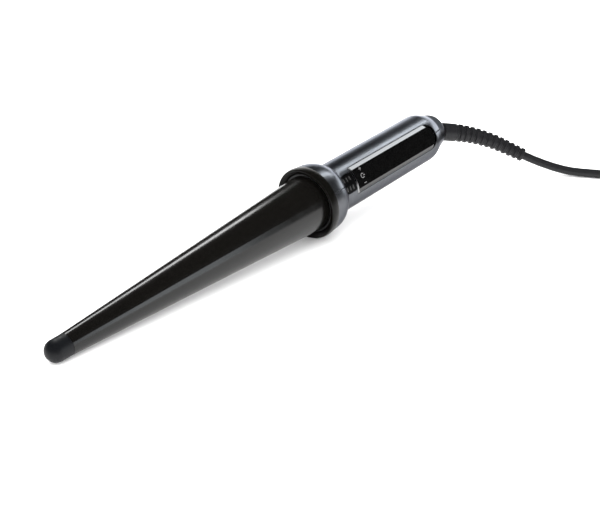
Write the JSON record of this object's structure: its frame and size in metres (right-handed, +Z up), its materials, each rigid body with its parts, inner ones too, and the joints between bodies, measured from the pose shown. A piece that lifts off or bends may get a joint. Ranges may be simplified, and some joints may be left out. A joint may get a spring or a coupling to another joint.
{
  "type": "curling wand",
  "caption": "Clipless conical hair curling wand with a cool tip, flared heat-shield collar, rocker control and a ball-swivel mains cord.",
  "frame": {"origin": "on the table, under the middle of the wand's length (the cord and what is on it left out)", "axes": "+Z up from the table; +X along the wand from its cool tip towards its cord, the wand's own axis rising 4.8 degrees towards +X because it rests on its tip and collar; +Y completes the right hand, and the inlaid panel looks towards -Y and up"},
  "size_m": [0.4933, 0.1677, 0.0464],
  "materials": {
    "barrel_ceramic": "satin black ceramic coating on aluminium",
    "tip_plastic": "matte charcoal heat-proof plastic",
    "collar_plastic": "satin black heat-proof plastic",
    "gasket": "matte black heat-proof silicone",
    "gunmetal_shell": "gunmetal metallic lacquer on plastic",
    "panel_gloss": "gloss black",
    "trim_silver": "satin silver plating",
    "rocker_black": "soft black",
    "ceramic_heater": "white alumina ceramic",
    "spreader_alloy": "as extruded",
    "sensor_glass": "varnished bead",
    "fuse_metal": "tinned",
    "mount_resin": "phenolic resin",
    "board_green": "solder mask green",
    "parts_black": "moulded epoxy",
    "capacitor_yellow": "box film capacitor",
    "led_clear": "clear",
    "steel": "zinc plated",
    "lead_insulation": "silicone insulated",
    "brass": "turned",
    "swivel_plastic": "black acetal",
    "cord_rubber": "dark grey-black PVC",
    "tie_black": "black strap"
  },
  "bodies": {
    "cord_end": {"swivel_ball": "swivel_plastic", "strain_relief": "cord_rubber", "cord_run": "cord_rubber", "cord_coil": "cord_rubber", "cord_tail": "cord_rubber", "cord_tie": "tie_black", "plug_body": "cord_rubber", "plug_pin_left": "brass", "plug_pin_right": "brass"},
    "swivel_cage": {"swivel_cage": "swivel_plastic", "slip_ring_front": "brass", "slip_ring_rear": "brass"},
    "wand": {"barrel": "barrel_ceramic", "cool_tip": "tip_plastic", "heater_plate": "ceramic_heater", "heat_spreader_upper": "spreader_alloy", "heat_spreader_lower": "spreader_alloy", "thermistor": "sensor_glass", "thermal_fuse": "fuse_metal", "barrel_mount": "mount_resin", "heat_shield_ring": "collar_plastic", "seat_gasket": "gasket", "shell_left": "gunmetal_shell", "shell_right": "gunmetal_shell", "shell_screw_1": "steel", "shell_screw_2": "steel", "shell_screw_3": "steel", "tail_ring": "gunmetal_shell", "top_panel": "panel_gloss", "panel_trim": "trim_silver", "rocker_pin": "steel", "switch_bracket": "parts_black", "control_pcb": "board_green", "tact_switch_plus": "parts_black", "tact_switch_minus": "parts_black", "indicator_led": "led_clear", "light_pipe": "led_clear", "triac": "parts_black", "film_capacitor": "capacitor_yellow", "heater_leads": "lead_insulation", "brush_block": "parts_black"},
    "rocker": {"rocker_cap": "rocker_black"}
  },
  "joints": [
    {"name": "cord_tilt", "type": "hinge", "parent": "cord_end", "child": "swivel_cage", "pos_m": [0.15442, 0, 0.03212], "axis": [0.0744, 0.4544, -0.8877], "range_deg": [0, 66]},
    {"name": "cord_swivel", "type": "hinge", "parent": "swivel_cage", "child": "wand", "pos_m": [0.15442, 0, 0.03212], "axis": [0.9965, 0, 0.0836], "continuous": true},
    {"name": "rocker_tilt", "type": "hinge", "parent": "wand", "child": "rocker", "pos_m": [0.05521, -0.00997, 0.02935], "axis": [0.9965, 0, 0.0836], "range_deg": [-4, 4], "stiffness_Nm_per_rad": 0.35}
  ]
}
